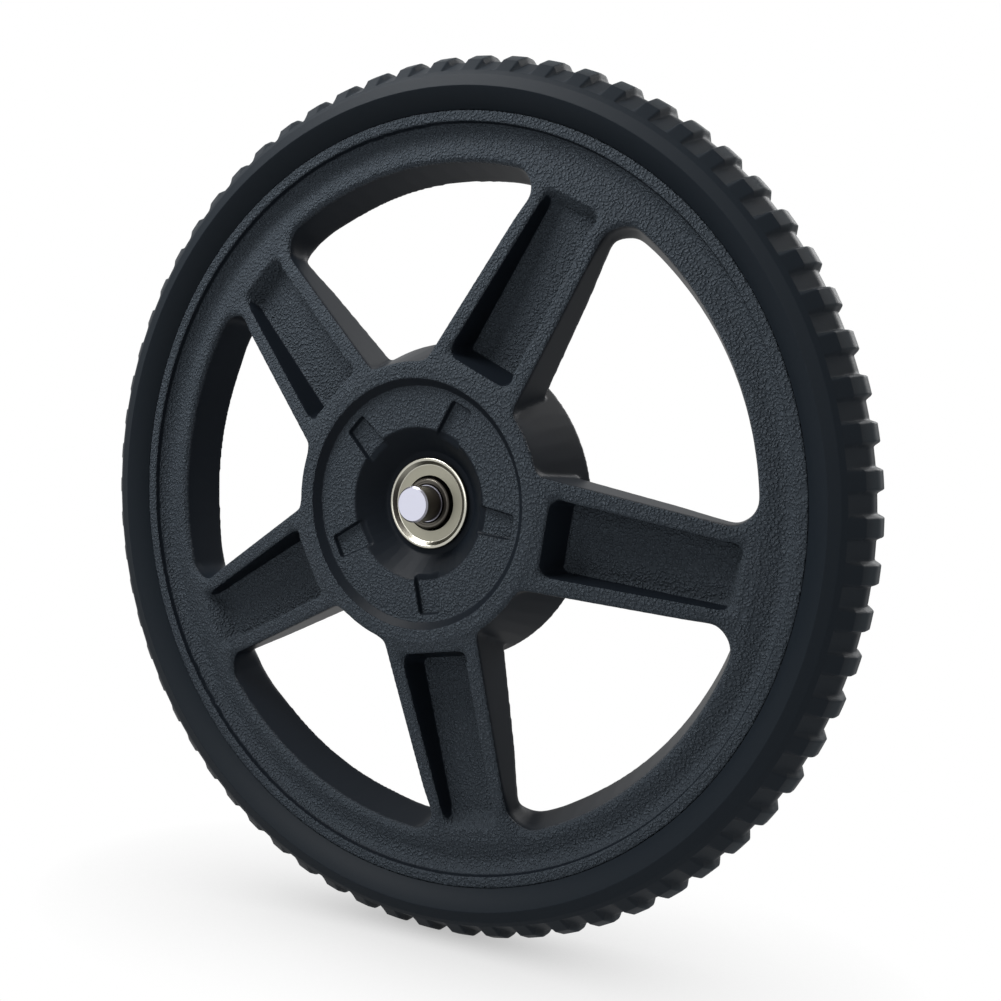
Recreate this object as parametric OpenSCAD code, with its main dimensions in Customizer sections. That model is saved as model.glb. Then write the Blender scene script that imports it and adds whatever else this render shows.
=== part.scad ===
// Wheel of a pressure washer: one-piece moulded wheel with five channel spokes, a solid lugged
// tyre, two flanged ball bearings, a spacer and a plain axle pin.
// Millimetres. The axle lies along Y, the front faces -Y and +Z is up. The origin is the wheel's
// centre, on the axle and in the middle plane of the tyre.

/* [Tyre] */
// Radius over the tread lugs
tread_r = 152.4; // [140:0.2:170]
// Height of the tyre from the barrel to the tread
tyre_h = 19.3; // [18.6:0.1:21]
// Width of the tyre over its two lip ridges
tyre_w = 27.8; // [27.2:0.2:30]
// Height of the lip ridge above the barrel
lip_h = 6.3; // [5.5:0.1:7]
// Flat width on the lip ridge
lip_w = 0.8; // [0.4:0.1:1.2]
// Height above the barrel at which the lugs start on the sidewall
lug_start_h = 10.7; // [9.5:0.1:11.5]
// Width of the tyre where the lugs start
lug_start_w = 25.6; // [24:0.2:26.4]
// Drop of the shoulders below the tread
shoulder_drop = 2.6; // [2:0.1:3.4]
// Width over the two shoulders, where the crown turns into the lugs' side faces
shoulder_w = 15.6; // [14:0.2:18]
// Flat width across the crown of the tread
crown_w = 5; // [3:0.5:8]
// Number of tread lugs
lug_count = 68; // [60:4:76]
// Height of a lug above the groove floor
lug_h = 2.1; // [1.2:0.1:2.4]
// Width of a lug on its crown
lug_crown_w = 5.2; // [4.5:0.1:6]
// Width of a lug at its foot
lug_foot_w = 8.2; // [6.6:0.1:8.6]
// Turn of the first lug from +X towards +Z, in degrees
lug_phase = 5; // [0:0.5:5]

/* [Rim] */
// Width of the barrel that carries the tyre
rim_w = 19; // [18:0.2:20]
// Radial width of the grained flange band beside the tyre
flange_band = 3.8; // [3.2:0.1:4.6]
// Radius of the valley's rounded outer side
valley_round = 4.6; // [4:0.1:5]
// Radial distance from the barrel to a window's outer edge at the front
rim_h = 15.9; // [15:0.1:17]
// Distance of the front edge of the windows in front of the middle plane
window_front_z = 6.9; // [6.4:0.1:7.4]
// Distance of the back edge of the windows behind the middle plane
window_back_z = 8.6; // [7:0.1:9]
// Draft of the windows' outer walls, in degrees
window_draft = 19; // [14:0.5:21]
// Wall thickness of the rim
rim_wall = 3.5; // [3:0.1:4]
// Height of the key rib that locks the tyre to the barrel
key_h = 4; // [2:0.2:5]
// Width of the key rib at its foot
key_w = 8; // [6:0.2:10]
// Number of ribs in the trough at the back of the rim
rim_ribs = 20; // [10:5:30]
// Thickness of the ribs at the back
rib_t = 2.5; // [2:0.1:3.5]

/* [Spokes] */
// Number of spokes
spokes = 5; // [4:1:6]
// Turn of the first spoke from +X towards +Z, in degrees
spoke_phase = 62.5; // [0:0.5:72]
// Spoke width at the hub, on the front
spoke_root_w = 37.2; // [34:0.2:39]
// Spoke width near the rim, on the front
spoke_tip_w = 30.6; // [28:0.2:32]
// Drop of the rails' front below the hub's face and below the windows' front edge
rail_drop = 0.3; // [0.2:0.1:1]
// Rail width at the hub, beside the channel
rail_root_w = 5.7; // [5:0.1:7]
// Rail width near the rim
rail_tip_w = 5.1; // [4.5:0.1:6.5]
// Distance of the channel's floor in front of the middle plane, at the hub
floor_root_z = 6; // [4:0.2:8]
// Distance of the channel's floor in front of the middle plane, near the rim
floor_tip_z = 1; // [0:0.1:2]
// Thickness of the channel's floor
web_t = 2.5; // [2:0.1:3]
// Height of the flanks behind the channel's floor
flank_lip = 1; // [0.6:0.1:3]
// Draft of a spoke's flanks, in degrees
flank_draft = 2; // [1:0.5:4]
// Draft of a channel's sides, in degrees
channel_draft = 4; // [1:0.5:6]
// Distance from the hub's edge to the channel's inner end, on the front
channel_start_gap = 1.8; // [1:0.1:3]
// Slope length of the channel's inner end wall
channel_start_slope = 3.2; // [2:0.1:5]
// Distance from the channel's outer end to the window's edge radius, on the front
channel_end_gap = 3.8; // [2:0.1:5]
// Slope length of the channel's outer end wall
channel_end_slope = 4.6; // [2:0.1:6]
// Radius of the corners between spoke and rim
corner_r = 10; // [6:0.5:12]
// Radius of the corners between spoke and hub
root_r = 4.5; // [2:0.5:6]

/* [Hub] */
// Length of the axle, and twice the distance of the hub's front face from the middle plane
hub_w = 41; // [40:0.5:44]
// Radius of the hub's front face, with its rounded edge
hub_r = 48.6; // [47:0.2:50]
// Radius of the rounded edge of the front face
hub_round = 1.8; // [0.5:0.1:2]
// Largest radius of the drum, at its back edge
drum_r = 56; // [54:0.2:57]
// Distance of the drum's back edge behind the middle plane
drum_back_z = 4; // [2:0.2:6]
// Wall thickness of the drum
drum_wall = 4; // [3:0.1:4.5]
// Radius of the shallow recess at the face
recess_r = 42.8; // [42:0.1:44]
// Radius of the recess at its floor
recess_floor_r = 39.9; // [39:0.1:41.5]
// Depth of the recess
recess_d = 3; // [2:0.1:3.5]
// Thickness of the front plate under the recess
plate_t = 5; // [4.5:0.1:6]
// Radius of the bowl around the bearing, at the recess
bowl_r = 26; // [25:0.1:27]
// Radius of the bowl at the bearing's seat
bowl_floor_r = 18; // [17:0.1:20]
// Outer radius of the recessed notches
notch_r = 37.5; // [35:0.1:38.5]
// Width of a notch at the bowl
notch_in_w = 10; // [8:0.1:11]
// Width of a notch at its outer end
notch_out_w = 8; // [6:0.1:9]
// Depth of a notch
notch_d = 2; // [1:0.1:2.4]
// Wall thickness around the bearings
tube_wall = 4.2; // [3.5:0.1:5]
// Number of ribs at the back of the hub
hub_ribs = 10; // [5:5:15]

/* [Bearings and axle] */
// Radius of the axle pin
axle_r = 6.35; // [6:0.05:6.5]
// Chamfer of the axle pin's ends
axle_chamfer = 0.55; // [0.3:0.05:0.8]
// Depth by which the pin's free ends are turned down
axle_end_turn = 0.2; // [0.16:0.02:0.5]
// Length of full pin that shows past each inner ring
axle_shoulder = 0.2; // [0.1:0.1:1]
// Distance of each bearing seat's shoulder from the middle plane
seat_z = 9.4; // [9:0.1:10.4]
// Radius of the bearing's shell
shell_r = 14.2875; // [14:0.0125:14.5]
// Depth of the bearing's shell in its seat
shell_depth = 8; // [7.8:0.1:8.4]
// Radius of the bearing's flange
flange_r = 15.875; // [15.5:0.025:16.5]
// Height of the rolled flange
flange_h = 1.6; // [1.3:0.05:1.8]
// Radius of the balls
ball_r = 2.38; // [2.2:0.02:2.4]
// Radius of the circle through the balls' centres
ball_circle_r = 10.75; // [10.6:0.01:10.8]
// Number of balls in a bearing
balls = 13; // [10:1:14]
// Radius of the shield's hole
shield_hole_r = 9.6; // [9.4:0.05:10]
// Thickness of the shield
shield_t = 0.5; // [0.3:0.05:0.6]
// Radius of the inner ring's shoulders
inner_ring_r = 8.7; // [8.5:0.05:8.9]
// Distance that the inner ring stands out of the bearing's seat shoulder
inner_ring_out = 2; // [1.7:0.05:2.4]
// Radius of the spacer between the inner rings
spacer_r = 8.2; // [7.5:0.05:8.4]

/* [Fits] */
// Gap between the tyre and the barrel
tyre_fit = 0.05; // [0.02:0.01:0.1]
// Gap between a shell and its seat, and between the axle and what it carries
seat_fit = 0.02; // [0.01:0.01:0.04]
// Gap between the balls and their tracks
ball_fit = 0.05; // [0.02:0.01:0.08]
// Endwise gap between pieces on the axle
end_fit = 0.05; // [0.02:0.01:0.1]

/* [Hidden] */
$fn = 96;

// Reach of the cutting blocks, past every solid of the wheel
far = 2 * tread_r;
// Overlap of solids that are one moulding
merge = 1;

// Tyre
rim_r = tread_r - tyre_h;
tyre_z = tyre_w / 2;
rim_z = rim_w / 2;
key_tip_w = key_w - key_h / 2;
lip_r = rim_r + lip_h;
lug_start_r = rim_r + lug_start_h;
lug_start_z = lug_start_w / 2;
shoulder_r = tread_r - shoulder_drop;

// Rim
valley_r = rim_r - flange_band - valley_round;
window_front_r = rim_r - rim_h;
window_back_r = window_wall_r(-window_back_z);
trough_z = rim_z - valley_round - rim_wall;
trough_r = rim_r - rim_wall;

// Hub
hub_z = hub_w / 2;
recess_z = hub_z - recess_d;
plate_z = recess_z - plate_t;
tube_r = shell_r + tube_wall;

// Spokes
face_r = hub_r - hub_round;
channel_start_r = hub_r + channel_start_gap;
channel_end_r = window_front_r - channel_end_gap;
floor_start_r = channel_start_r + channel_start_slope;
floor_end_r = channel_end_r - channel_end_slope;
rail_slope = (hub_z - window_front_z) / (window_front_r - face_r);
floor_slope = (floor_root_z - floor_tip_z) / (floor_end_r - floor_start_r);

// Bearings
shield_seat_z = seat_z - 0.25;
shield_out_r = shell_r - 0.75;
race_z = seat_z - shell_depth / 2 + 0.3;
shell_in_r = ball_circle_r + ball_r - 0.45;
track_r = ball_r + ball_fit;
inner_ring_in = seat_z - shell_depth + 0.4;
mid_bore_r = shell_r - 2.2;

// Radius of the windows' outer wall at a height
function window_wall_r(z) = window_front_r - (window_front_z - z) * tan(window_draft);
// Height of the rails' front at a radius
function rail_z(r) = hub_z - rail_drop - (r - face_r) * rail_slope;
// Height of the channel's floor at a radius
function floor_z(r) = floor_root_z - (r - floor_start_r) * floor_slope;
// Height of the flanks' back at a radius
function flank_back_z(r) = floor_z(r) - web_t - flank_lip;
// Half of the spoke's width on the rails' front at a radius, from its widths at hub and rim
function half_w(root_w, tip_w, r) =
    (root_w + (tip_w - root_w) * (r - hub_r) / (channel_end_r - hub_r)) / 2;
// Outer radius of the drum at a height, in front of its back edge
function drum_out_r(z) =
    hub_r + (drum_r - hub_r) * (hub_z - hub_round - z) / (hub_z - hub_round + drum_back_z);
// Point where a line from p touches a circle, on the circle's lower side
function touch(p, centre, r) =
    let (
        d = centre - p,
        reach = sqrt(d * d - r * r),
        turn = atan2(d[1], d[0]) - asin(r / norm(d))
    )
    p + reach * [cos(turn), sin(turn)];

// Stands a piece that is drawn around Z on the axle, its top towards the front
module to_front() {
    rotate([90, 0, 0])
        children();
}

// The same with its top towards the back
module to_back() {
    rotate([-90, 0, 0])
        children();
}

// Drawn on one half plane: x is the radius and y the height towards the front

// Barrel, key rib, flange band, valley and inner wall of the rim
module rim_section() {
    valley = [valley_r, rim_z];
    difference() {
        polygon([
            [rim_r, rim_z],
            valley,
            touch([window_front_r, window_front_z], valley, valley_round),
            [window_front_r, window_front_z],
            [window_back_r, -window_back_z],
            [window_back_r + rim_wall, -window_back_z],
            [window_wall_r(trough_z) + rim_wall, trough_z],
            [trough_r - merge, trough_z],
            [trough_r, -rim_z],
            [rim_r, -rim_z],
            [rim_r, -key_w / 2],
            [rim_r + key_h, -key_tip_w / 2],
            [rim_r + key_h, key_tip_w / 2],
            [rim_r, key_w / 2]
        ]);
        translate(valley)
            circle(valley_round);
    }
}

// Front plate with its recess, bowl, bearing tube and drum wall
module hub_section() {
    bowl_back_z = seat_z - tube_wall;
    union() {
        polygon([
            [face_r, hub_z],
            [recess_r, hub_z],
            [recess_floor_r, recess_z],
            [bowl_r, recess_z],
            [bowl_floor_r, seat_z],
            [shell_r + seat_fit, seat_z],
            [shell_r + seat_fit, seat_z - shell_depth],
            [mid_bore_r, seat_z - shell_depth],
            [mid_bore_r, shell_depth - seat_z],
            [shell_r + seat_fit, shell_depth - seat_z],
            [shell_r + seat_fit, -seat_z],
            [tube_r, -seat_z],
            [tube_r + merge, bowl_back_z],
            [bowl_r + merge, plate_z],
            [drum_out_r(plate_z) - drum_wall, plate_z],
            [drum_r - drum_wall, -drum_back_z],
            [drum_r, -drum_back_z],
            [hub_r, hub_z - hub_round]
        ]);
        translate([face_r, hub_z - hub_round])
            circle(hub_round);
    }
}

// Moulded wheel

// Block between two side planes that taper towards the rim, from the widths on the rails' front
module drafted_strip(root_w, tip_w, draft) {
    root_mid = half_w(root_w, tip_w, hub_r) + tan(draft) * rail_z(hub_r);
    tip_mid = half_w(root_w, tip_w, channel_end_r) + tan(draft) * rail_z(channel_end_r);
    taper = atan((tip_mid - root_mid) / (channel_end_r - hub_r));
    difference() {
        translate([0, -far / 2, -far / 2])
            cube([far, far, far]);
        for (side = [0, 1])
            mirror([0, side, 0])
                translate([hub_r, root_mid, 0])
                    rotate([0, 0, taper])
                        rotate([draft, 0, 0])
                            translate([-far, 0, -far])
                                cube([2 * far, far, 2 * far]);
    }
}

// Extrusion across the spoke of an outline in radius and height
module across_spoke() {
    rotate([90, 0, 0])
        linear_extrude(height = far, center = true)
            children();
}

// Ring from which the spokes are cut: from the cone of the rails' front to the flanks' back, which
// runs down to the windows' back edge near the rim
module spoke_ring() {
    web_start_r = window_front_r - corner_r;
    rotate_extrude()
        polygon([
            [face_r - drum_wall, flank_back_z(hub_r)],
            [web_start_r, flank_back_z(web_start_r)],
            [window_back_r + merge, merge / 2 - window_back_z],
            [window_back_r + 2 * merge, merge / 2 - window_back_z],
            [window_front_r + merge, rail_z(window_front_r + merge)],
            [face_r, rail_z(face_r)],
            [face_r - drum_wall, rail_z(face_r)]
        ]);
}

// Web that rounds the corner between a spoke's flank and the rim, leaning with the window's wall
module corner_web() {
    centre_y = half_w(spoke_root_w, spoke_tip_w, window_front_r) + corner_r;
    centre_x = sqrt(pow(window_front_r - corner_r, 2) - pow(centre_y, 2));
    reach = (window_front_r + 2 * merge) / (window_front_r - corner_r);
    lean = window_draft * 0.7;
    translate([centre_x, 0, window_front_z])
        rotate([0, lean, 0])
            linear_extrude(height = far, center = true)
                difference() {
                    polygon([
                        [-corner_r / 2, centre_y - corner_r - 2 * merge],
                        [centre_x * (reach - 1) + corner_r / 2, centre_y - corner_r - 2 * merge],
                        [centre_x * (reach - 1), centre_y * reach],
                        [0, centre_y]
                    ]);
                    translate([0, centre_y])
                        circle(corner_r);
                }
}

// Web that rounds the corner between a spoke's flank and the drum
module root_web() {
    centre_y = half_w(spoke_root_w, spoke_tip_w, hub_r) + root_r;
    centre_x = sqrt(pow(hub_r + root_r, 2) - pow(centre_y, 2));
    reach = face_r / (hub_r + root_r);
    linear_extrude(height = far, center = true)
        difference() {
            polygon([
                [centre_x * reach - merge, centre_y - root_r - merge],
                [centre_x, centre_y - root_r - merge],
                [centre_x, centre_y],
                [centre_x * reach, centre_y * reach]
            ]);
            translate([centre_x, centre_y])
                circle(root_r);
        }
}

// One spoke along +X, a channel that is open to the front, with a shallow pocket behind its floor
module spoke() {
    channel_start = [channel_start_r, rail_z(channel_start_r)];
    floor_start = [floor_start_r, floor_z(floor_start_r)];
    floor_end = [floor_end_r, floor_z(floor_end_r)];
    channel_end = [channel_end_r, rail_z(channel_end_r)];
    difference() {
        intersection() {
            spoke_ring();
            union() {
                drafted_strip(spoke_root_w, spoke_tip_w, flank_draft);
                for (side = [0, 1])
                    mirror([0, side, 0]) {
                        root_web();
                        corner_web();
                    }
            }
        }
        intersection() {
            // The end walls go on as far above the rails as they reach below them
            across_spoke()
                polygon([
                    2 * channel_start - floor_start,
                    floor_start,
                    floor_end,
                    2 * channel_end - floor_end
                ]);
            drafted_strip(spoke_root_w - 2 * rail_root_w, spoke_tip_w - 2 * rail_tip_w, -channel_draft);
        }
        intersection() {
            across_spoke()
                polygon([
                    [0, floor_z(0) - web_t],
                    [far, floor_z(far) - web_t],
                    [far, -far],
                    [0, -far]
                ]);
            drafted_strip(spoke_root_w - 2 * rail_root_w, spoke_tip_w - 2 * rail_tip_w, flank_draft);
        }
    }
}

// Radial rib at the back, from an outline in radius and height
module back_rib() {
    rotate([90, 0, 0])
        linear_extrude(height = rib_t, center = true)
            children();
}

module wheel_body() {
    color("#26292e")
        to_front()
            difference() {
                union() {
                    rotate_extrude()
                        rim_section();
                    for (i = [0 : spokes - 1])
                        rotate([0, 0, spoke_phase + i * 360 / spokes])
                            difference() {
                                spoke();
                                // The spoke ends inside the drum's wall
                                translate([0, 0, -drum_back_z])
                                    cylinder(
                                        h = hub_z - hub_round + drum_back_z + 2 * merge,
                                        r1 = drum_r - drum_wall / 2,
                                        r2 = face_r - drum_wall / 2
                                    );
                            }
                    rotate_extrude()
                        hub_section();
                    for (i = [0 : rim_ribs - 1])
                        rotate([0, 0, spoke_phase + i * 360 / rim_ribs])
                            back_rib()
                                polygon([
                                    [window_back_r + rim_wall - merge, merge - window_back_z],
                                    [trough_r + merge, 2 * merge - rim_z],
                                    [trough_r + merge / 2, trough_z + merge],
                                    [window_wall_r(trough_z) + rim_wall - merge, trough_z + merge]
                                ]);
                    for (i = [0 : hub_ribs - 1])
                        rotate([0, 0, spoke_phase + i * 360 / hub_ribs])
                            back_rib()
                                polygon([
                                    [tube_r - merge, 2 * merge - seat_z],
                                    [drum_r - drum_wall + merge, merge - drum_back_z],
                                    [drum_out_r(plate_z) - drum_wall + merge, plate_z + merge],
                                    [bowl_r + 2 * merge, plate_z + merge],
                                    [tube_r - merge, seat_z - tube_wall + merge]
                                ]);
                }
                for (i = [0 : spokes - 1])
                    rotate([0, 0, spoke_phase + i * 360 / spokes])
                        translate([0, 0, recess_z - notch_d])
                            linear_extrude(height = notch_d + merge)
                                polygon([
                                    [bowl_floor_r, -notch_in_w / 2],
                                    [notch_r, -notch_out_w / 2],
                                    [notch_r, notch_out_w / 2],
                                    [bowl_floor_r, notch_in_w / 2]
                                ]);
            }
}

// Tyre

// Half of the tyre's section in front of the middle plane; sink is how far the tread lies below the lugs
module tyre_half(sink) {
    polygon(concat(
        [
            [rim_r + tyre_fit, 0],
            [rim_r + tyre_fit, rim_z],
            [lip_r - lip_w / 2, tyre_z],
            [lip_r + lip_w / 2, tyre_z],
            [lug_start_r, lug_start_z]
        ],
        // The groove's floor steps down at the lugs' start
        sink > 0 ? [[lug_start_r, lug_start_z - sink / 2]] : [],
        [
            [shoulder_r - sink * 0.8, shoulder_w / 2 - sink * 0.6],
            [tread_r - sink, crown_w / 2],
            [tread_r - sink, 0]
        ]
    ));
}

// Section of both halves, with the groove that takes the barrel's key rib
module tyre_section(sink) {
    difference() {
        union() {
            tyre_half(sink);
            mirror([0, 1])
                tyre_half(sink);
        }
        polygon([
            [rim_r - merge, -key_w / 2 - tyre_fit],
            [rim_r, -key_w / 2 - tyre_fit],
            [rim_r + key_h + tyre_fit, -key_tip_w / 2 - tyre_fit],
            [rim_r + key_h + tyre_fit, key_tip_w / 2 + tyre_fit],
            [rim_r, key_w / 2 + tyre_fit],
            [rim_r - merge, key_w / 2 + tyre_fit]
        ]);
    }
}

module tyre() {
    color("#1b1e22")
        to_front()
            union() {
                rotate_extrude()
                    tyre_section(lug_h);
                intersection() {
                    rotate_extrude()
                        difference() {
                            tyre_section(0);
                            translate([rim_r, -far / 2])
                                square([lip_h + 2 * merge, far]);
                        }
                    for (i = [0 : lug_count - 1])
                        rotate([0, 0, lug_phase + i * 360 / lug_count])
                            linear_extrude(height = tyre_w, center = true)
                                polygon([
                                    [lip_r, -lug_foot_w / 2],
                                    [tread_r - lug_h, -lug_foot_w / 2],
                                    [tread_r, -lug_crown_w / 2],
                                    [tread_r + merge, -lug_crown_w / 2],
                                    [tread_r + merge, lug_crown_w / 2],
                                    [tread_r, lug_crown_w / 2],
                                    [tread_r - lug_h, lug_foot_w / 2],
                                    [lip_r, lug_foot_w / 2]
                                ]);
                }
            }
}

// Bearing, drawn with its flange at the top

// Circle in which the balls run, in radius and height
module ball_track() {
    translate([ball_circle_r, race_z])
        circle(track_r);
}

// Pressed shell with a rolled flange, which holds the shield and is turned in at its far end
module bearing_shell() {
    top_z = seat_z + flange_h;
    bottom_z = seat_z - shell_depth + end_fit;
    rotate_extrude()
        difference() {
            polygon([
                [shell_r - 0.6, bottom_z],
                [shell_r, bottom_z + 0.6],
                [shell_r, seat_z + end_fit],
                [flange_r, seat_z + end_fit],
                [flange_r, top_z - 0.7],
                [flange_r - 0.5, top_z - 0.15],
                [shell_r + 0.6, top_z],
                [shell_r + 0.1, top_z - 0.1],
                [shell_r - 0.5, top_z - 0.7],
                [shield_out_r - 0.4, shield_seat_z + shield_t + 0.1],
                [shield_out_r - 0.4, shield_seat_z + shield_t],
                [shield_out_r + end_fit, shield_seat_z + shield_t],
                [shield_out_r + end_fit, shield_seat_z - end_fit],
                [shell_in_r, shield_seat_z - end_fit],
                [shell_in_r, bottom_z + 1],
                [shield_hole_r + 0.2, bottom_z + 0.8],
                [shield_hole_r + 0.2, bottom_z]
            ]);
            ball_track();
        }
}

// Flat washer that closes the bearing's outer side
module bearing_shield() {
    rotate_extrude()
        translate([shield_hole_r, shield_seat_z])
            square([shield_out_r - shield_hole_r, shield_t - end_fit]);
}

module bearing_balls() {
    for (i = [0 : balls - 1])
        rotate([0, 0, i * 360 / balls])
            translate([ball_circle_r, 0, race_z])
                sphere(ball_r, $fn = 32);
}

// Inner ring with its track and a turned edge
module bearing_inner_ring() {
    rotate_extrude()
        difference() {
            polygon([
                [axle_r + seat_fit, inner_ring_in],
                [inner_ring_r - 0.4, inner_ring_in],
                [inner_ring_r, inner_ring_in + 0.4],
                [inner_ring_r, seat_z + inner_ring_out - 0.6],
                [inner_ring_r - 0.6, seat_z + inner_ring_out],
                [axle_r + seat_fit, seat_z + inner_ring_out]
            ]);
            ball_track();
        }
}

module front_shell() {
    color("#c9c5b4")
        to_front()
            bearing_shell();
}

module front_shield() {
    color("#a9a390")
        to_front()
            bearing_shield();
}

module front_balls() {
    color("#c4c6c9")
        to_front()
            bearing_balls();
}

module front_inner_ring() {
    color("#a3a5a8")
        to_front()
            bearing_inner_ring();
}

module rear_shell() {
    color("#c9c5b4")
        to_back()
            bearing_shell();
}

module rear_shield() {
    color("#a9a390")
        to_back()
            bearing_shield();
}

module rear_balls() {
    color("#c4c6c9")
        to_back()
            bearing_balls();
}

module rear_inner_ring() {
    color("#a3a5a8")
        to_back()
            bearing_inner_ring();
}

// Short tube that keeps the inner rings apart
module spacer() {
    color("#8e9092")
        to_front()
            difference() {
                cylinder(h = 2 * (inner_ring_in - end_fit), r = spacer_r, center = true);
                cylinder(h = 4 * inner_ring_in, r = axle_r + seat_fit, center = true);
            }
}

// Pin with its free ends turned down and chamfered, its front end flush with the hub's face
module axle() {
    end_r = axle_r - axle_end_turn;
    seat_end_z = seat_z + inner_ring_out + axle_shoulder;
    color("#b9bbbf")
        to_front()
            rotate_extrude()
                polygon([
                    [0, -hub_z],
                    [end_r - axle_chamfer, -hub_z],
                    [end_r, axle_chamfer - hub_z],
                    [end_r, -seat_end_z],
                    [axle_r, -seat_end_z],
                    [axle_r, seat_end_z],
                    [end_r, seat_end_z],
                    [end_r, hub_z - axle_chamfer],
                    [end_r - axle_chamfer, hub_z],
                    [0, hub_z]
                ]);
}

wheel_body();
tyre();
front_shell();
front_shield();
front_balls();
front_inner_ring();
rear_shell();
rear_shield();
rear_balls();
rear_inner_ring();
spacer();
axle();
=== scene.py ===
import math

import bmesh
import bpy
import numpy as np
from mathutils import Matrix, Vector


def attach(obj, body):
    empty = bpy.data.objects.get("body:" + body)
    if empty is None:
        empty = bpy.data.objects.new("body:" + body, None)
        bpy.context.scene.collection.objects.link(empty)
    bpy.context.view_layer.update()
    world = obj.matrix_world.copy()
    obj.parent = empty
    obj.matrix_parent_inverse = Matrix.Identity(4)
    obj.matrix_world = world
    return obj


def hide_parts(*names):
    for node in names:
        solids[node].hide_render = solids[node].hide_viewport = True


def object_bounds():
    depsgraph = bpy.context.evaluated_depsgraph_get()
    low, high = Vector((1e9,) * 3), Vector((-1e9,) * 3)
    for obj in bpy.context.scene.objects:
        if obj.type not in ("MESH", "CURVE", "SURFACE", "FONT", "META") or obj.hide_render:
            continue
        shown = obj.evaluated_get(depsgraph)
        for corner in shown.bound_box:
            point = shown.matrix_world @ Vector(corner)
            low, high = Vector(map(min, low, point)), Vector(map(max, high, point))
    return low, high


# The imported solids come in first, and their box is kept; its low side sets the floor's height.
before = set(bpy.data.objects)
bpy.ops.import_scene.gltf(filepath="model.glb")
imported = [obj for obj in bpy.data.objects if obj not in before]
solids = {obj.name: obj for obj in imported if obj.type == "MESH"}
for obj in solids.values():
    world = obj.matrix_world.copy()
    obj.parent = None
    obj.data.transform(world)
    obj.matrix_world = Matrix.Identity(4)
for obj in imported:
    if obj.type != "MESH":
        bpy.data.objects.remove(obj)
cad_low, cad_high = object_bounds()
scene = bpy.context.scene

# Camera: the photograph looks at the wheel's front from its right, a little from above, through
# a lens that stands less than half a metre away, and leans by a degree.
turn, height, lean = (math.radians(angle) for angle in (30.21, 3.40, 0.93))
camera_place = (0.24965, -0.38993, 0.02829)
camera_back = Vector(
    (math.sin(turn) * math.cos(height), -math.cos(turn) * math.cos(height), math.sin(height))
)
level_right = Vector((math.cos(turn), math.sin(turn), 0))
level_up = camera_back.cross(level_right)
camera_right = level_right * math.cos(lean) + level_up * math.sin(lean)
camera_up = level_up * math.cos(lean) - level_right * math.sin(lean)
camera_axes = Matrix((camera_right, camera_up, camera_back)).transposed().to_4x4()
photo_lens = bpy.data.cameras.new("photo_lens")
photo_lens.lens = 47.47
photo_lens.sensor_width = 36
photo_lens.clip_start = 0.01
photo_camera = bpy.data.objects.new("photo_camera", photo_lens)
photo_camera.matrix_world = Matrix.Translation(camera_place) @ camera_axes
scene.collection.objects.link(photo_camera)
scene.camera = photo_camera


# White studio: a white room, a pale matt floor under the tyre, and four softboxes. The camera and
# mirror-like surfaces see room and floor as plain white, with the wheel's soft shadow on the floor,
# and everything else gets their soft light.
def linear(hex_colour):
    """sRGB hex colour as linear RGBA: each channel through the sRGB curve."""
    s = np.array([int(hex_colour[i : i + 2], 16) for i in (1, 3, 5)]) / 255
    rgb = np.where(s <= 0.04045, s / 12.92, ((s + 0.055) / 1.055) ** 2.4)
    return (*rgb.tolist(), 1.0)


def add(tree, kind, settings=None, values=None, links=None):
    """Adds one node: settings are its own properties, values go to its input sockets, and links
    join an output of another node to an input. A Mix node's colours are inputs 6 and 7 and
    output 2."""
    made = tree.nodes.new(kind)
    for name, value in (settings or {}).items():
        setattr(made, name, value)
    for name, value in (values or {}).items():
        made.inputs[name].default_value = value
    for name, source in (links or {}).items():
        tree.links.new(source, made.inputs[name])
    return made


def seen_directly(tree):
    """1 for what the camera, a mirror or glass sees, 0 for light that falls on matt surfaces."""
    path = add(tree, "ShaderNodeLightPath").outputs
    larger = {"operation": "MAXIMUM"}
    either = add(
        tree, "ShaderNodeMath", larger, links={0: path["Is Camera Ray"], 1: path["Is Glossy Ray"]}
    )
    any_of_them = add(
        tree, "ShaderNodeMath", larger, links={0: either.outputs[0], 1: path["Is Transmission Ray"]}
    )
    return any_of_them.outputs[0]


def bare_material(name):
    """A material without nodes, and its node tree."""
    made = bpy.data.materials.new(name)
    made.use_nodes = True
    made.node_tree.nodes.clear()
    return made, made.node_tree


room = bpy.data.worlds.new("white_room")
scene.world = room
room.use_nodes = True
tree = room.node_tree
tree.nodes.clear()
seen = seen_directly(tree)
soft_light = add(
    tree, "ShaderNodeBackground", values={"Color": linear("#e0e8f4"), "Strength": 0.11}
)
plain_white = add(tree, "ShaderNodeBackground", values={"Color": (1, 1, 1, 1), "Strength": 1.0})
both = add(
    tree, "ShaderNodeMixShader", links={0: seen, 1: soft_light.outputs[0], 2: plain_white.outputs[0]}
)
add(tree, "ShaderNodeOutputWorld", links={"Surface": both.outputs[0]})

floor_half = 6.0
floor_corners = [
    (x * floor_half, y * floor_half, cad_low.z) for x, y in ((-1, -1), (1, -1), (1, 1), (-1, 1))
]
floor_mesh = bpy.data.meshes.new("studio_floor")
floor_mesh.from_pydata(floor_corners, [], [(0, 1, 2, 3)])
floor = bpy.data.objects.new("studio_floor", floor_mesh)
scene.collection.objects.link(floor)

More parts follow.
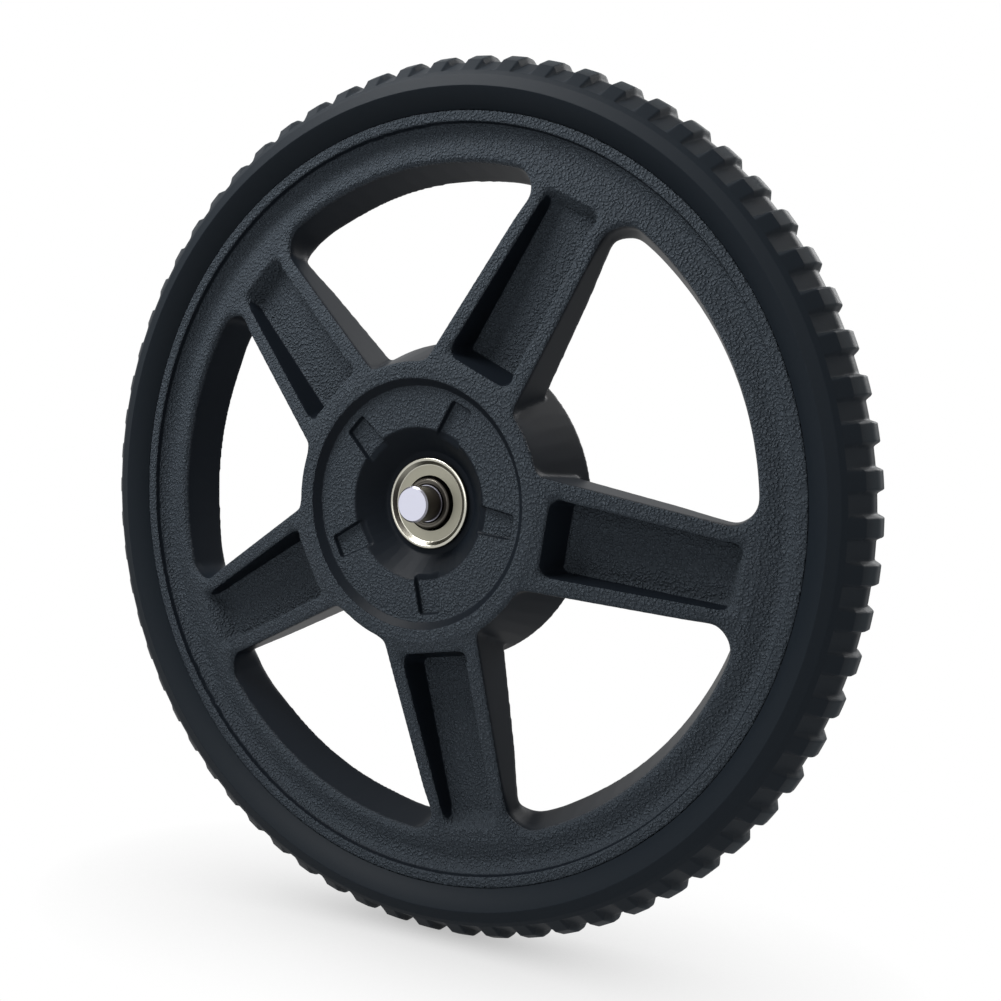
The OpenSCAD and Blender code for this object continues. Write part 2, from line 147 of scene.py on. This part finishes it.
# White matt paint spreads its light evenly. Under the tyre, within the shadow's reach, the white that the
# camera sees falls towards the shadow's tone.
shadow_reach, shadow_tone = 0.08, 0.45
floor_paint, tree = bare_material("white_matt_paint")
seen = seen_directly(tree)
matt = add(tree, "ShaderNodeBsdfDiffuse", values={"Color": linear("#e6e8ea")})
open_sky = add(tree, "ShaderNodeAmbientOcclusion", {"samples": 16}, {"Distance": shadow_reach})
shade = add(
    tree, "ShaderNodeMapRange", values={"To Min": shadow_tone, "To Max": 1.0},
    links={"Value": open_sky.outputs["AO"]}
)
white = add(
    tree, "ShaderNodeEmission", values={"Color": (1, 1, 1, 1)}, links={"Strength": shade.outputs[0]}
)
both = add(tree, "ShaderNodeMixShader", links={0: seen, 1: matt.outputs[0], 2: white.outputs[0]})
add(tree, "ShaderNodeOutputMaterial", links={"Surface": both.outputs[0]})
floor_mesh.materials.append(floor_paint)

# The near softbox at the upper left gives the fall of light over the face. The front and right ones light
# the walls that it misses, and the back one the ribs behind. Rows of name, place, watts and width.
for name, place, power, width in (
    ("high_left_softbox", (-0.18, -0.23, 0.43), 4.6, 0.26),
    ("front_softbox", (0.1, -0.95, 0.3), 3.2, 0.6),
    ("right_softbox", (1.6, 0.1, 0.4), 5.0, 0.8),
    ("back_softbox", (0.45, 1.1, 0.7), 18.0, 0.8),
):
    lamp = bpy.data.lights.new(name, "AREA")
    lamp.energy = power
    lamp.size = width
    softbox = bpy.data.objects.new(name, lamp)
    softbox.location = place
    softbox.rotation_euler = (-Vector(place)).to_track_quat("-Z", "Y").to_euler()
    softbox.visible_camera = False
    scene.collection.objects.link(softbox)

scene.view_settings.view_transform = "Standard"


# Wheel moulding: polypropylene, filled black, moulded in one piece with a leather grain on its
# front faces and smooth drafted walls. The mould rounds every edge, most of all the windows' edges.
def clean_copy(node):
    """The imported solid's mesh with its loose triangles joined at shared corners."""
    work = bmesh.new()
    work.from_mesh(solids[node].data)
    bmesh.ops.remove_doubles(work, verts=work.verts, dist=2e-6)
    mesh = bpy.data.meshes.new(node + "_copy")
    work.to_mesh(mesh)
    work.free()
    return mesh


def modified(mesh, kind, **settings):
    """The mesh as one modifier leaves it."""
    carrier = bpy.data.objects.new(mesh.name, mesh)
    scene.collection.objects.link(carrier)
    modifier = carrier.modifiers.new(kind, kind)
    for name, value in settings.items():
        setattr(modifier, name, value)
    shown = carrier.evaluated_get(bpy.context.evaluated_depsgraph_get())
    made = bpy.data.meshes.new_from_object(shown)
    bpy.data.objects.remove(carrier)
    return made


def rounded_edges(mesh, cell, radius_at):
    """Moves every point half of the way to the mean of its neighbours, again and again. That is a
    blur, and a blur of width s rounds a square edge like an arc of radius 1.36 s. Each pass adds
    a quarter of the squared cell size to the squared width, so a point needs 4 (s / cell)^2
    passes. After every stage, the points that are done drop out, and the rest and their
    neighbours are numbered anew."""
    stage = 8
    points = np.empty(3 * len(mesh.vertices))
    mesh.vertices.foreach_get("co", points)
    points = points.reshape(-1, 3)
    ends = np.empty(2 * len(mesh.edges), int)
    mesh.edges.foreach_get("vertices", ends)
    ends = ends.reshape(-1, 2)
    needed = 4 * (radius_at(points) / 1.36 / cell) ** 2
    for first_pass in range(0, int(np.ceil(needed.max())), stage):
        ends = ends[(needed[ends] > first_pass).any(axis=1)]
        used, local = np.unique(ends, return_inverse=True)
        one, other = local.reshape(-1, 2).T
        near, left = points[used], needed[used] - first_pass
        neighbours = np.bincount(local.ravel())[:, None]
        for done in range(stage):
            total = np.stack([
                np.bincount(one, axis[other], len(used)) + np.bincount(other, axis[one], len(used))
                for axis in near.T
            ], axis=1)
            near += np.clip(left - done, 0, 1)[:, None] / 2 * (total / neighbours - near)
        points[used] = near
    mesh.vertices.foreach_set("co", points.ravel())


def ramp(value, start, end):
    """0 at start, 1 at end, and a smooth step between them."""
    t = np.clip((value - start) / (end - start), 0, 1)
    return t * t * (3 - 2 * t)


def mould_radius(points):
    """Edge radius in metres at each point. It is 0.4 mm on the hub's face and 0.9 mm elsewhere,
    and grows to 1.1 mm on the spokes, to 2.8 mm at the windows' front edge and in the channels'
    upright corners, and to 2.6 mm behind the windows' corners. Each zone is a product of ramps,
    in mm from the axle, in front of the middle plane, and along and beside the nearest spoke."""
    first_spoke, spoke_step = 62.5, 72
    x, back, z = points.T * 1000
    radius, front = np.hypot(x, z), -back
    bearing = np.degrees(np.arctan2(z, x)) - first_spoke
    off = np.radians((bearing + spoke_step / 2) % spoke_step - spoke_step / 2)
    along, aside = radius * np.cos(off), np.abs(radius * np.sin(off))
    hub_face = ramp(radius, 47, 45)
    spoke = ramp(radius, 47, 50) * ramp(front, -2, 0) * ramp(radius, 121, 118)
    window = ramp(radius, 98, 112) * ramp(radius, 122, 119) * ramp(front, 2, 4) * (aside > 13)
    behind = ramp(radius, 86, 104) * ramp(aside, 13, 15) * ramp(aside, 44, 26) * ramp(front, 3, 0)
    # A channel's side stands this far from the spoke's middle, and its ends 52 and 111 mm from the axle
    channel_side = 12.9 - 0.045 * (along - 50)
    at_ends = ramp(np.abs(along - 52), 4, 2) + ramp(np.abs(along - 111), 5, 3)
    upright = ramp(np.abs(aside - channel_side), 3.5, 1.5) * at_ends
    radius_mm = (
        0.9 - 0.5 * hub_face + 0.2 * spoke + 1.7 * window + 1.7 * spoke * upright * (1 - window)
    )
    return (radius_mm + (2.6 - radius_mm) * behind) / 1000


def axle_distance(tree, coordinates):
    """Distance of a surface's points from the axle: the length of (x, 0, z)."""
    across = add(
        tree, "ShaderNodeVectorMath", {"operation": "MULTIPLY"}, {1: (1, 0, 1)},
        {0: coordinates.outputs["Object"]}
    )
    distance = add(
        tree, "ShaderNodeVectorMath", {"operation": "LENGTH"}, links={0: across.outputs[0]}
    )
    return distance.outputs["Value"]


cell, triangles = 0.00045, 190000
moulding_mesh = modified(clean_copy("wheel_body"), "REMESH", mode="VOXEL", voxel_size=cell)
rounded_edges(moulding_mesh, cell, mould_radius)
moulding_mesh = modified(
    moulding_mesh, "DECIMATE", ratio=triangles / (2 * len(moulding_mesh.polygons))
)
moulding_mesh.shade_smooth()
moulding = bpy.data.objects.new("wheel_moulding", moulding_mesh)
scene.collection.objects.link(moulding)
moulding.modifiers.new("face_weights", "WEIGHTED_NORMAL").weight = 60

# Black polypropylene from an etched mould: the front's leather grain has domes 0.9 mm across. The grained
# faces are painted paler than the walls as a painted sheen, with a painted highlight on the domes' tops
# and painted shade in their joints. Steep walls slid along polished steel and look almost black.
grain_pitch, grain_height = 0.0009, 0.0007
hub_edge, bowl_edge = 0.046, 0.0263
plastic, tree = bare_material("grained_black_polypropylene")
coordinates = add(tree, "ShaderNodeTexCoord")
facing = add(tree, "ShaderNodeSeparateXYZ", links={0: coordinates.outputs["Normal"]})
radius = axle_distance(tree, coordinates)
# The grain stops at steep walls, thins out on the hub's slopes, and is left off the bowl
on_hub = add(
    tree, "ShaderNodeMapRange",
    values={"From Min": hub_edge + 0.001, "From Max": hub_edge - 0.001, "To Max": 0.36},
    links={"Value": radius}
)
steepness = add(
    tree, "ShaderNodeMath", {"operation": "ADD"},
    links={0: facing.outputs["Y"], 1: on_hub.outputs[0]}
)
on_face = add(
    tree, "ShaderNodeMapRange", {"interpolation_type": "SMOOTHSTEP"},
    {"From Min": -0.36, "From Max": -0.52}, {"Value": steepness.outputs[0]}
)
outside_bowl = add(
    tree, "ShaderNodeMapRange", {"interpolation_type": "SMOOTHSTEP"},
    {"From Min": bowl_edge - 0.0005, "From Max": bowl_edge + 0.0005}, {"Value": radius}
)
grained = add(
    tree, "ShaderNodeMath", {"operation": "MULTIPLY"},
    links={0: on_face.outputs[0], 1: outside_bowl.outputs[0]}
)
# Noise twice as coarse as the domes moves them about, so that they run together as in leather
wander = add(
    tree, "ShaderNodeTexNoise", values={"Scale": 0.5 / grain_pitch, "Detail": 2.0},
    links={"Vector": coordinates.outputs["Object"]}
)
wandered = add(
    tree, "ShaderNodeVectorMath", {"operation": "MULTIPLY_ADD"}, {1: (grain_pitch * 1.4,) * 3},
    {0: wander.outputs["Color"], 2: coordinates.outputs["Object"]}
)
pebbles = add(
    tree, "ShaderNodeTexVoronoi", {"feature": "SMOOTH_F1"},
    {"Scale": 1 / grain_pitch, "Smoothness": 0.35, "Randomness": 1.0}, {"Vector": wandered.outputs[0]}
)
pebble_top = add(
    tree, "ShaderNodeMapRange", {"interpolation_type": "SMOOTHSTEP"},
    {"From Min": 0.75, "From Max": 0.05}, {"Value": pebbles.outputs["Distance"]}
)
relief = add(
    tree, "ShaderNodeMath", {"operation": "MULTIPLY"},
    links={0: pebble_top.outputs[0], 1: grained.outputs[0]}
)
bump = add(
    tree, "ShaderNodeBump", values={"Strength": 1.0, "Distance": grain_height},
    links={"Height": relief.outputs[0]}
)
# Painted highlight and shade: the domes' tops are painted paler and their joints darker, all paler than
# the walls
grain_painted_sheen_and_shade = add(
    tree, "ShaderNodeMix", {"data_type": "RGBA"}, {6: linear("#2a2f34"), 7: linear("#3b4147")},
    {0: pebble_top.outputs[0]}
)
# The plain faces at the back are painted a little paler than the steep walls, a painted sheen for a
# duller finish
on_back = add(
    tree, "ShaderNodeMapRange", {"interpolation_type": "SMOOTHSTEP"},
    {"From Min": 0.4, "From Max": 0.7}, {"Value": facing.outputs["Y"]}
)
plain_tone = add(
    tree, "ShaderNodeMix", {"data_type": "RGBA"}, {6: linear("#0f1318"), 7: linear("#20252a")},
    {0: on_back.outputs[0]}
)
tone = add(
    tree, "ShaderNodeMix", {"data_type": "RGBA"},
    links={0: grained.outputs[0], 6: plain_tone.outputs[2], 7: grain_painted_sheen_and_shade.outputs[2]}
)
gloss = add(
    tree, "ShaderNodeMapRange", values={"To Min": 0.42, "To Max": 0.6},
    links={"Value": grained.outputs[0]}
)
# The specular level is low, because mirror-like reflections would see the room as plain white
skin = add(
    tree, "ShaderNodeBsdfPrincipled", values={"IOR": 1.49, "Specular IOR Level": 0.05},
    links={"Base Color": tone.outputs[2], "Roughness": gloss.outputs[0], "Normal": bump.outputs[0]}
)
add(tree, "ShaderNodeOutputMaterial", links={"Surface": skin.outputs[0]})
moulding.data.materials.clear()
moulding.data.materials.append(plastic)
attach(moulding, "wheel")
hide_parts("wheel_body")


# Tyre: solid black rubber, cured in a mould with straight lugs across the tread, stretched over the
# barrel's key rib. The mould rounds the lugs, and the grooves run out on the sidewall.
def outline(corners, steps):
    """Points along an outline whose corners, rows of x, y and radius, are replaced by arcs. An arc
    starts at the radius over the tangent of half the corner's angle from the corner, and turns
    around a point on the corner's bisector, at the radius over the sine of that half angle."""
    corners = np.array(corners, float)
    place, radius = corners[1:-1, :2], np.maximum(corners[1:-1, 2:], 1e-4)
    before, after = corners[:-2, :2] - place, corners[2:, :2] - place
    before /= np.linalg.norm(before, axis=1, keepdims=True)
    after /= np.linalg.norm(after, axis=1, keepdims=True)
    half = np.arccos(np.clip((before * after).sum(axis=1, keepdims=True), -1, 1)) / 2
    bisector = before + after
    bisector /= np.linalg.norm(bisector, axis=1, keepdims=True)
    centre = place + bisector * radius / np.sin(half)
    first = place + before * radius / np.tan(half) - centre
    last = place + after * radius / np.tan(half) - centre
    turn = np.pi - 2 * half
    share = np.linspace(0, 1, steps)[None, :, None]
    first, last, turn, centre = first[:, None], last[:, None], turn[:, None], centre[:, None]
    arcs = centre + (np.sin((1 - share) * turn) * first + np.sin(share * turn) * last) / np.sin(turn)
    return np.vstack([corners[:1, :2], arcs.reshape(-1, 2), corners[-1:, :2]])


def revolved(name, sections, angles):
    """A closed ring around the axle. sections[i, j] holds point j of the outline at angles[i], as
    its distance r from the axle and h in front of the middle plane: x = r cos a, y = -h and
    z = r sin a."""
    radius, front = np.moveaxis(sections, 2, 0)
    angle = angles[:, None]
    points = np.stack([radius * np.cos(angle), -front, radius * np.sin(angle)], axis=2)
    index = np.arange(radius.size).reshape(radius.shape)
    ahead, on = np.roll(index, -1, axis=0), np.roll(index, -1, axis=1)
    faces = np.stack([index, ahead, np.roll(ahead, -1, axis=1), on], axis=2).reshape(-1, 4)
    mesh = bpy.data.meshes.new(name)
    mesh.from_pydata(points.reshape(-1, 3).tolist(), [], faces.tolist())
    mesh.shade_smooth()
    made = bpy.data.objects.new(name, mesh)
    scene.collection.objects.link(made)
    made.modifiers.new("face_weights", "WEIGHTED_NORMAL").weight = 60
    return made


mm = 0.001
lug_count, lug_phase = 68, math.radians(5)
# Half sections from the tyre's seat to the middle of the tread, over a lug and along a groove: rows of
# radius, distance from the middle plane, and corner radius, in mm
seat, tread, groove_floor = 133.15, 152.4, 150.3
sidewall = [(seat, 9.5, 0), (140.0, 13.9, 0.4), (143.8, 12.8, 2.0)]
lug_corners = [(145.4, 11.75, 3.0), (149.8, 7.8, 1.2), (tread, 2.5, 5), (tread, 0, 0)]
groove_corners = [(145.4, 11.7, 0.8), (148.0, 6.8, 1.6), (groove_floor, 2.5, 5), (groove_floor, 0, 0)]
key_groove = np.array([(seat, -4.05), (137.15, -2.05), (137.15, 2.05), (seat, 4.05)])
over_lug, along_groove = (
    np.vstack([half_section, (half_section * (1, -1))[-2::-1], key_groove])
    for half_section in (outline(sidewall + corners, 6) for corners in (lug_corners, groove_corners))
)
# Places across a lug and its groove, in mm along the tread: dense on the flanks
pitch = 2 * math.pi / lug_count
half_lug = np.array([0, 1.5, 2.3, 2.7, 3.1, 3.5, 3.9, 4.3, 4.9, 5.9])
across = np.concatenate([-half_lug[:0:-1], half_lug, [pitch * tread / 2]]) / tread
angles = (lug_phase + np.arange(lug_count)[:, None] * pitch + across).ravel()
on_lug = np.tile(ramp(np.abs(across) * tread, 4.2, 2.7), lug_count)[:, None, None]
tyre = revolved("solid_tyre", on_lug * over_lug * mm + (1 - on_lug) * along_groove * mm, angles)

# Black rubber, cured in a sand-blasted mould: matt all over, with a fine speckle that is drawn 0.55 mm
# coarse to show. The tops of the lugs are painted paler, a painted sheen where the light catches the
# tread.
speckle_pitch = 0.00055
# Radii over which the lugs' tops turn to their painted sheen
lug_sheen_low, lug_sheen_high = 0.1495, 0.1522
rubber, tree = bare_material("black_tyre_rubber")
coordinates = add(tree, "ShaderNodeTexCoord")
lug_top_painted_sheen = add(
    tree, "ShaderNodeMapRange", {"interpolation_type": "SMOOTHSTEP"},
    {"From Min": lug_sheen_low, "From Max": lug_sheen_high}, {"Value": axle_distance(tree, coordinates)}
)
speckle = add(
    tree, "ShaderNodeTexNoise", values={"Scale": 1 / speckle_pitch, "Detail": 3.0},
    links={"Vector": coordinates.outputs["Object"]}
)
bump = add(
    tree, "ShaderNodeBump", values={"Strength": 0.25, "Distance": 0.0001},
    links={"Height": speckle.outputs["Fac"]}
)
# The second colour is the painted sheen on the lugs' tops
tone = add(
    tree, "ShaderNodeMix", {"data_type": "RGBA"}, {6: linear("#12171c"), 7: linear("#23282c")},
    {0: lug_top_painted_sheen.outputs[0]}
)
skin = add(
    tree, "ShaderNodeBsdfPrincipled", values={"Roughness": 0.55, "IOR": 1.5, "Specular IOR Level": 0.07},
    links={"Base Color": tone.outputs[2], "Normal": bump.outputs[0]}
)
add(tree, "ShaderNodeOutputMaterial", links={"Surface": skin.outputs[0]})
tyre.data.materials.append(rubber)
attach(tyre, "wheel")
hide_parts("tyre")


# Bearings: cheap flanged ball bearings. Each has a pressed and zinc plated shell with a rolled lip that
# dishes down to a flat shield, loose greased balls, and a turned inner ring on the axle.
def metal(name, colour, rough, side=None, streaks=0.0):
    """A metal's material, of one colour unless a side's colour is given. Then faces square to the
    axle take the colour and the rest the side's, a painted shade on the sides, and streaks around
    the axle show how the piece was turned or pressed. They are drawn 0.3 mm apart, coarser than real
    ones, to show."""
    made, tree = bare_material(name)
    skin = add(
        tree, "ShaderNodeBsdfPrincipled",
        values={"Base Color": linear(colour), "Metallic": 1.0, "Roughness": rough}
    )
    add(tree, "ShaderNodeOutputMaterial", links={"Surface": skin.outputs[0]})
    if side is None:
        return made
    streak_pitch = 0.0003
    coordinates = add(tree, "ShaderNodeTexCoord")
    facing = add(tree, "ShaderNodeSeparateXYZ", links={0: coordinates.outputs["Normal"]})
    square_on = add(tree, "ShaderNodeMath", {"operation": "ABSOLUTE"}, links={0: facing.outputs["Y"]})
    share = add(
        tree, "ShaderNodeMapRange", {"interpolation_type": "SMOOTHSTEP"},
        {"From Min": 0.6, "From Max": 0.9}, {"Value": square_on.outputs[0]}
    )
    # Painted shade: faces that do not face along the axle take the darker side colour
    tone = add(
        tree, "ShaderNodeMix", {"data_type": "RGBA"}, {6: linear(side), 7: linear(colour)},
        {0: share.outputs[0]}
    )
    turned = add(
        tree, "ShaderNodeTexNoise", {"noise_dimensions": "1D"},
        {"Scale": 1 / streak_pitch, "Detail": 3.0}, {"W": axle_distance(tree, coordinates)}
    )
    bump = add(
        tree, "ShaderNodeBump", values={"Strength": streaks, "Distance": 0.00005},
        links={"Height": turned.outputs["Fac"]}
    )
    tree.links.new(tone.outputs[2], skin.inputs["Base Color"])
    tree.links.new(bump.outputs[0], skin.inputs["Normal"])
    return made


# Outlines in rows of radius, height and corner radius, in mm. The ball track in the shell is an arc
# around the circle through the balls' centres.
ball_circle, ball_height, track_r = 10.75, 5.7, 2.43
shell_r, flange_r, flange_top = 14.28, 15.87, 11.0
track = np.radians(np.linspace(37.4, -37.4, 13))
track = np.stack([ball_circle + track_r * np.cos(track), ball_height + track_r * np.sin(track)], axis=1)
pressing = outline([
    (9.8, 1.45, 0), (13.7, 1.45, 0.3), (shell_r, 2.1, 0.3), (shell_r, 9.45, 0), (flange_r, 9.45, 0.2),
    (flange_r, flange_top, 0.75), (14.75, flange_top, 0.5), (13.35, 9.62, 0.3), (13.14, 9.61, 0),
    (13.14, 9.6, 0), (13.58, 9.6, 0), (13.58, 9.1, 0), (12.68, 9.1, 0)], 6)
shell_outline = np.vstack([pressing, track, [(12.68, 2.45), (9.8, 2.25)]])
bore, ring_r, ring_track_r = 6.37, 8.7, 8.32
ring_outline = outline([
    (bore, 1.8, 0), (8.3, 1.8, 0.1), (ring_r, 2.2, 0.1), (ring_r, 4.4, 0), (ring_track_r, 4.6, 0),
    (ring_track_r, 6.8, 0), (ring_r, 7.0, 0), (ring_r, 10.9, 0.2), (8.2, 11.4, 0.2), (7.5, 11.4, 0.1),
    (7.4, 11.25, 0), (6.9, 11.25, 0.1), (bore, 10.9, 0)], 4)
full_turn = np.linspace(0, 2 * math.pi, 160, endpoint=False)
# Zinc plate is pale, satin and slightly warm. Turned and oiled ring steel looks dark and streaky. The
# second colour of each is a painted shade on the sides.
zinc = metal("zinc_plated_steel", "#bbb9ae", 0.24, "#6b695f", 0.15)
oiled = metal("oiled_ring_steel", "#5f5c56", 0.3, "#35322f", 0.3)
for piece, points, finish, body, slot in (
    ("shell", shell_outline, zinc, "wheel", "zinc_shell"),
    ("inner_ring", ring_outline, oiled, "axle", "ring_steel"),
):
    for end, side in (("front", 1), ("rear", -1)):
        # Behind the middle plane the outline is mirrored, and runs the other way so that faces point out
        profile = (points if side > 0 else points[::-1]) * (1, side) * mm
        sections = np.broadcast_to(profile, (len(full_turn), *profile.shape))
        turned_piece = revolved(end + "_turned_" + piece, sections, full_turn)
        turned_piece.data.materials.append(finish)
        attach(turned_piece, body)
        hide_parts(end + "_" + piece)

# Shields, balls and spacer are plain solids of revolution, and keep their imported meshes. The shields'
# zinc is yellowish and duller than the shells', with sides painted dark as a painted shade, and grease
# keeps the balls dark.
for finish, members in (
    (metal("yellow_zinc_steel", "#929083", 0.45, "#3a382f", 0.3), ("front_shield", "rear_shield")),
    (metal("greased_ball_steel", "#3a3936", 0.35), ("front_balls", "rear_balls")),
    (metal("drawn_tube_steel", "#8e9092", 0.35), ("spacer",)),
):
    for node in members:
        solids[node].data.materials.clear()
        solids[node].data.materials.append(finish)

# Axle: a drawn steel pin with chamfered ends, which carries the inner rings and the spacer. Its turned
# ends are bright, and its sides are painted dark, a painted reflection and shade. It keeps its imported
# mesh.
solids["axle"].data.materials.clear()
solids["axle"].data.materials.append(metal("bright_pin_steel", "#d2d3e2", 0.3, "#383433", 0.25))
